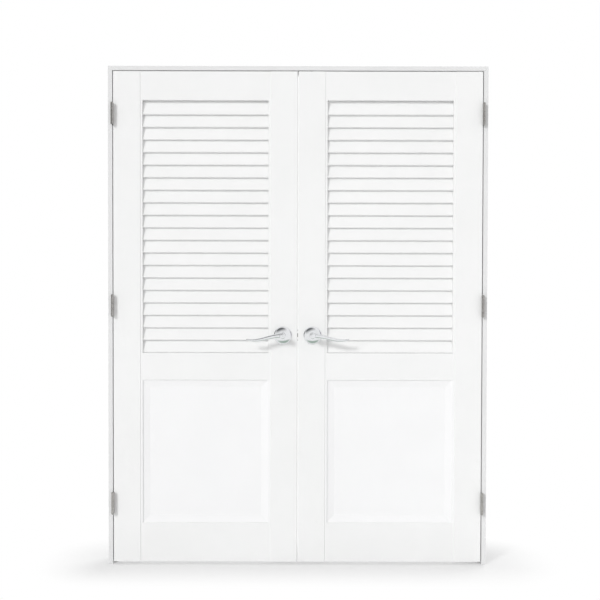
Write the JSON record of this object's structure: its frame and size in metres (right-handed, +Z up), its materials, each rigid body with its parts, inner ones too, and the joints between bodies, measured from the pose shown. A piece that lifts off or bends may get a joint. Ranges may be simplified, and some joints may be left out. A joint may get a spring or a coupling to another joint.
{
  "type": "louvered double door",
  "caption": "Pair of interior door leaves with fixed louvers over a recessed panel, hung in a jamb frame with stops, butt hinges and lever handles.",
  "frame": {"origin": "middle of the opening between the side jambs, at floor level, half-way through the jambs' depth", "axes": "+Z up; +X to the right of someone who faces the pull side; +Y from the pull side, where the hinge knuckles show, to the push side"},
  "size_m": [1.569, 0.178, 2.065],
  "materials": {
    "white_paint": "satin white paint",
    "satin_nickel": "satin",
    "polished_chrome": "polished",
    "zinc_steel": "zinc plated"
  },
  "bodies": {
    "frame": {"catch_strike": "satin_nickel", "head_jamb": "white_paint", "head_stop": "white_paint", "left_bottom_hinge_frame_leaf": "satin_nickel", "left_bottom_hinge_pin": "satin_nickel", "left_jamb": "white_paint", "left_middle_hinge_frame_leaf": "satin_nickel", "left_middle_hinge_pin": "satin_nickel", "left_stop": "white_paint", "left_top_hinge_frame_leaf": "satin_nickel", "left_top_hinge_pin": "satin_nickel", "right_bottom_hinge_frame_leaf": "satin_nickel", "right_bottom_hinge_pin": "satin_nickel", "right_jamb": "white_paint", "right_middle_hinge_frame_leaf": "satin_nickel", "right_middle_hinge_pin": "satin_nickel", "right_stop": "white_paint", "right_top_hinge_frame_leaf": "satin_nickel", "right_top_hinge_pin": "satin_nickel"},
    "left_door": {"left_bottom_hinge_door_leaf": "satin_nickel", "left_bottom_rail": "white_paint", "left_hinge_stile": "white_paint", "left_inside_rose": "polished_chrome", "left_leaf_left_louver_strip": "white_paint", "left_leaf_right_louver_strip": "white_paint", "left_louver_slats": "white_paint", "left_meeting_stile": "white_paint", "left_mid_rail": "white_paint", "left_middle_hinge_door_leaf": "satin_nickel", "left_outside_rose": "polished_chrome", "left_panel": "white_paint", "left_top_hinge_door_leaf": "satin_nickel", "left_top_rail": "white_paint", "latch_case": "zinc_steel", "latch_faceplate": "satin_nickel"},
    "right_door": {"right_bottom_hinge_door_leaf": "satin_nickel", "right_bottom_rail": "white_paint", "right_hinge_stile": "white_paint", "right_inside_lever": "polished_chrome", "right_inside_rose": "polished_chrome", "right_leaf_left_louver_strip": "white_paint", "right_leaf_right_louver_strip": "white_paint", "right_louver_slats": "white_paint", "right_meeting_stile": "white_paint", "right_mid_rail": "white_paint", "right_middle_hinge_door_leaf": "satin_nickel", "right_outside_lever": "polished_chrome", "right_outside_rose": "polished_chrome", "right_panel": "white_paint", "right_top_hinge_door_leaf": "satin_nickel", "right_top_rail": "white_paint", "latch_strike": "satin_nickel", "catch_case": "satin_nickel"},
    "lever_set": {"left_outside_lever": "polished_chrome", "left_inside_lever": "polished_chrome", "spindle": "zinc_steel"},
    "latch_bolt": {"latch_bolt": "satin_nickel"},
    "catch_plunger": {"catch_plunger": "satin_nickel"}
  },
  "joints": [
    {"name": "left_door_hinge", "type": "hinge", "parent": "frame", "child": "left_door", "pos_m": [-0.765, -0.0739, 1], "axis": [0, 0, -1], "range_deg": [0, 170]},
    {"name": "right_door_hinge", "type": "hinge", "parent": "frame", "child": "right_door", "pos_m": [0.765, -0.0739, 1], "axis": [0, 0, 1], "range_deg": [0, 170]},
    {"name": "lever_turn", "type": "hinge", "parent": "left_door", "child": "lever_set", "pos_m": [-0.0615, -0.0405, 0.955], "axis": [0, -1, 0], "range_deg": [0, 50], "stiffness_Nm_per_rad": 2, "springref_deg": -28.65},
    {"name": "latch_slide", "type": "slide", "parent": "left_door", "child": "latch_bolt", "axis": [-1, 0, 0], "range_m": [0, 0.012]},
    {"name": "catch_slide", "type": "slide", "parent": "right_door", "child": "catch_plunger", "axis": [0, 0, -1], "range_m": [0, 0.0042], "stiffness_N_per_m": 800, "springref_m": -0.004}
  ],
  "couplings": [
    {"joint": "latch_slide", "follows": "lever_turn", "m_per_rad": 0.0137}
  ]
}
